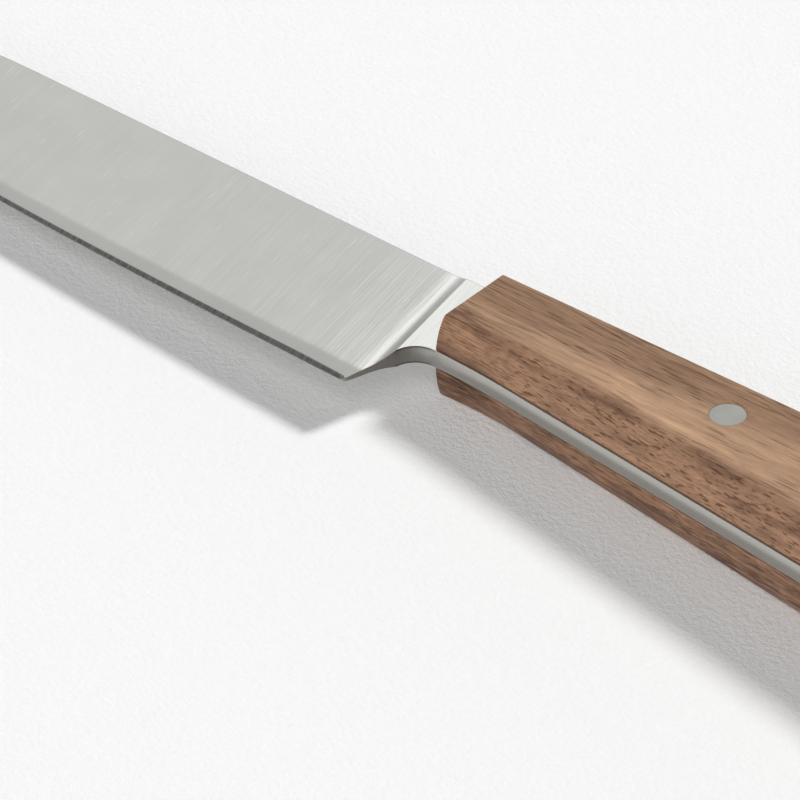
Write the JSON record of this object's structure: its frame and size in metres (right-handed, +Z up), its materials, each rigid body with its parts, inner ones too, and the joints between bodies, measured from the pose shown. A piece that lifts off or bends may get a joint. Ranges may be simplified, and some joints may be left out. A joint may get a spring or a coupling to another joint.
{
  "type": "steak knife",
  "caption": "Full-tang steak knife lying flat: straight-spined ground steel blade with a plain edge, ricasso and choil, flared walnut scales and flush rivets.",
  "frame": {"origin": "middle of the knife's box, on the surface that it lies on", "axes": "+X along the knife from the point to the butt, -Y towards the cutting edge, +Z up out of the upper scale"},
  "size_m": [0.238, 0.0246, 0.0171],
  "materials": {
    "blade_steel": "satin, brushed across the blade from spine to edge",
    "walnut": "oiled, low sheen, grain along the handle",
    "rivet_steel": "satin, ground flush"
  },
  "bodies": {
    "root": {"blade": "blade_steel", "upper_scale": "walnut", "lower_scale": "walnut", "front_rivet_post": "rivet_steel", "front_rivet_sleeve": "rivet_steel", "rear_rivet_post": "rivet_steel", "rear_rivet_sleeve": "rivet_steel"}
  },
  "joints": []
}
